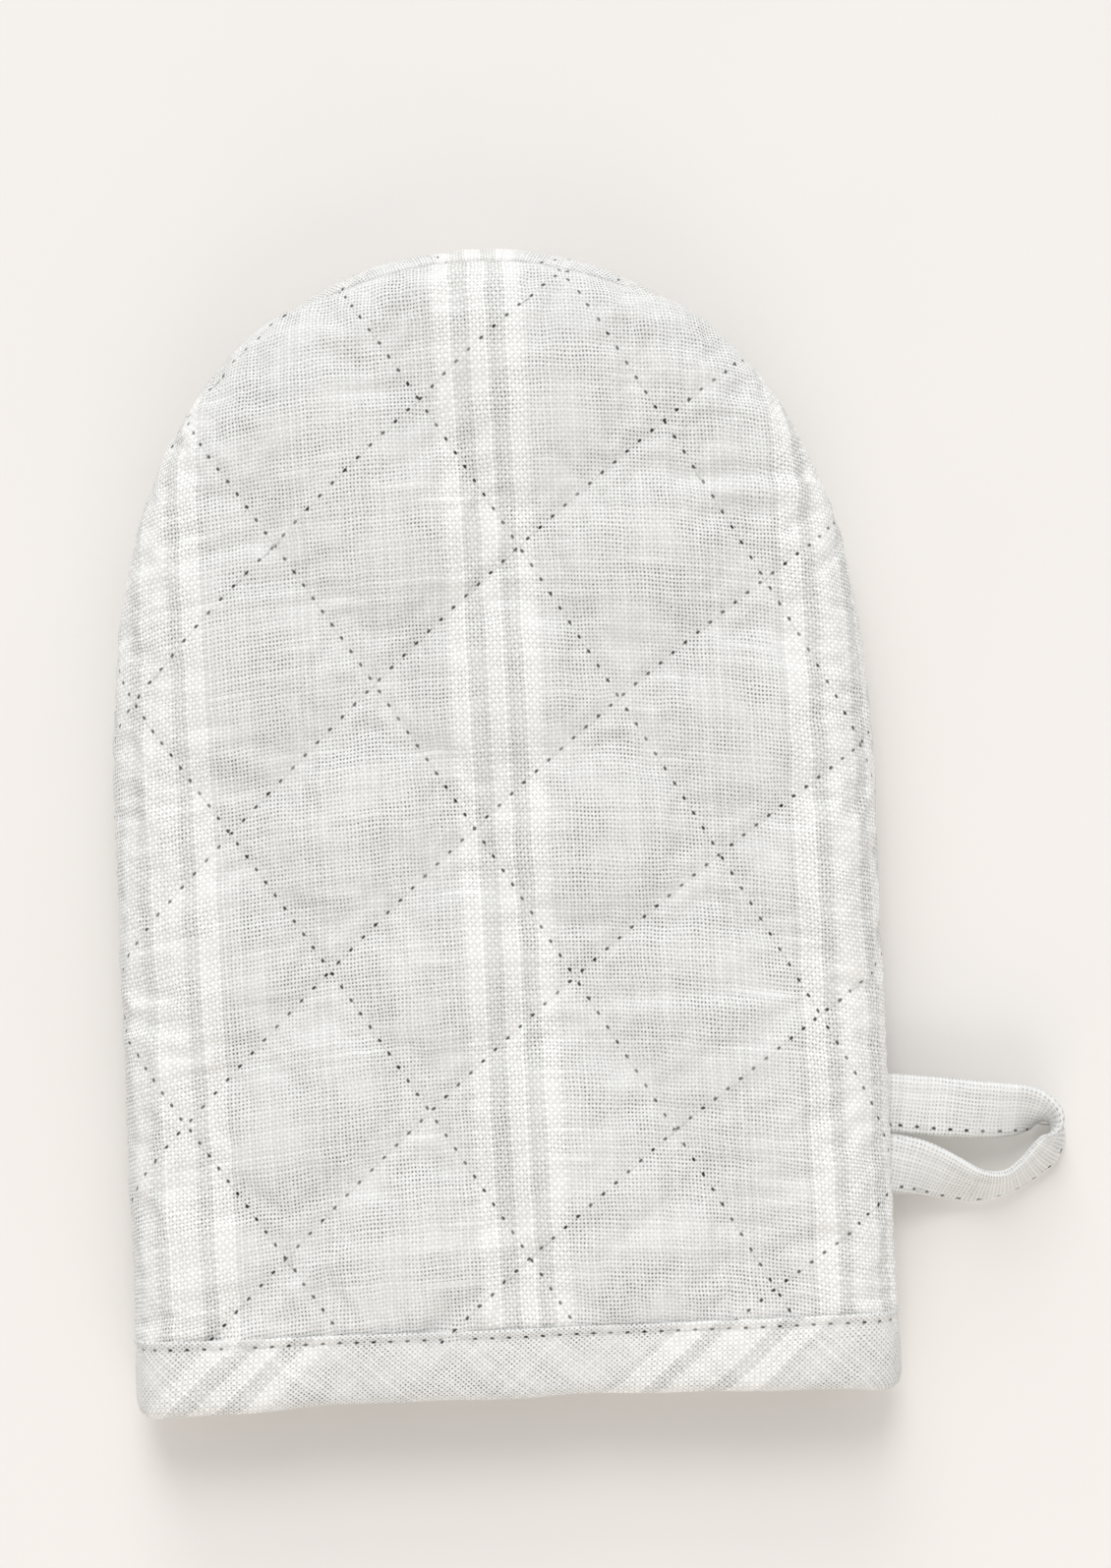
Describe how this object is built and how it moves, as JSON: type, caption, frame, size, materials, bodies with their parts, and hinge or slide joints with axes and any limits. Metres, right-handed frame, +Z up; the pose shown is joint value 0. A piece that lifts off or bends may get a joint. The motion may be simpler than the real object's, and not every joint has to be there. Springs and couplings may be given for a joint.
{
  "type": "oven mitt",
  "caption": "Thumbless quilted fabric oven mitt with a rounded fingertip end, a bound open mouth and a hanging loop in the side seam.",
  "frame": {"origin": "middle of the mitt's body, on the plane it lies on", "axes": "+Z up through the front panel, +Y from the bound mouth to the fingertip end, +X to the side with the hanging loop"},
  "size_m": [0.1963, 0.241, 0.0261],
  "materials": {
    "striped_cloth": "open plain weave, pale grey with white warp stripes",
    "binding_cloth": "the same plain weave cut on the bias",
    "loop_cloth": "the same plain weave folded to a narrow strip",
    "lining_cloth": "plain off-white cotton",
    "wadding": "fluffy needled fibre wadding",
    "thread": "twisted sewing thread"
  },
  "bodies": {
    "mitt": {"front_shell": "striped_cloth", "front_wadding": "wadding", "front_lining": "lining_cloth", "front_quilting_thread": "thread", "back_shell": "striped_cloth", "back_wadding": "wadding", "back_lining": "lining_cloth", "back_quilting_thread": "thread", "side_seam_thread": "thread", "seam_overlock_thread": "thread", "mouth_binding": "binding_cloth", "binding_topstitch_thread": "thread"},
    "loop": {"hanging_loop": "loop_cloth", "loop_edge_thread": "thread"}
  },
  "joints": [
    {"name": "loop_swing", "type": "hinge", "parent": "mitt", "child": "loop", "pos_m": [0.081, -0.068, 0.0115], "axis": [0, -1, 0], "range_deg": [-45, 75]}
  ]
}
